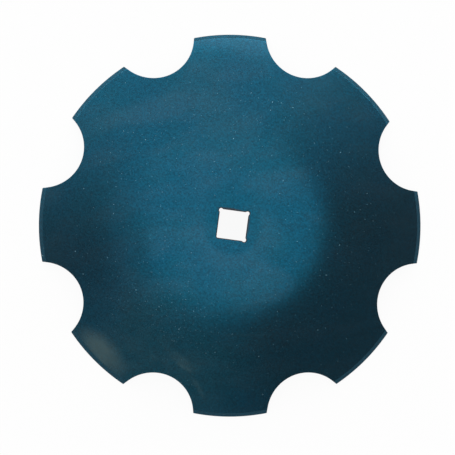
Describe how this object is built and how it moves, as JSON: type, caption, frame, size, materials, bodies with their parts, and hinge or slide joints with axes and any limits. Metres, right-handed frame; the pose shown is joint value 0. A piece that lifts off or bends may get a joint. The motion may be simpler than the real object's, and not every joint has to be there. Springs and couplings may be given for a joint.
{
  "type": "disc harrow blade",
  "caption": "Dished round steel blade with a scalloped, outside-bevelled rim, a flat centre and a square axle hole, painted dark blue.",
  "frame": {"origin": "on the axle's axis, in the plane of the cutting edge, which is the floor that the blade lies on", "axes": "+Z along the axle from the hollow side to the round side; X and Y square to the sides of the axle hole; the one hole corner with no relief is at -X -Y"},
  "size_m": [0.5599, 0.5599, 0.0769],
  "materials": {
    "blue_enamel": "satin"
  },
  "bodies": {
    "root": {"disc_blade": "blue_enamel"}
  },
  "joints": []
}
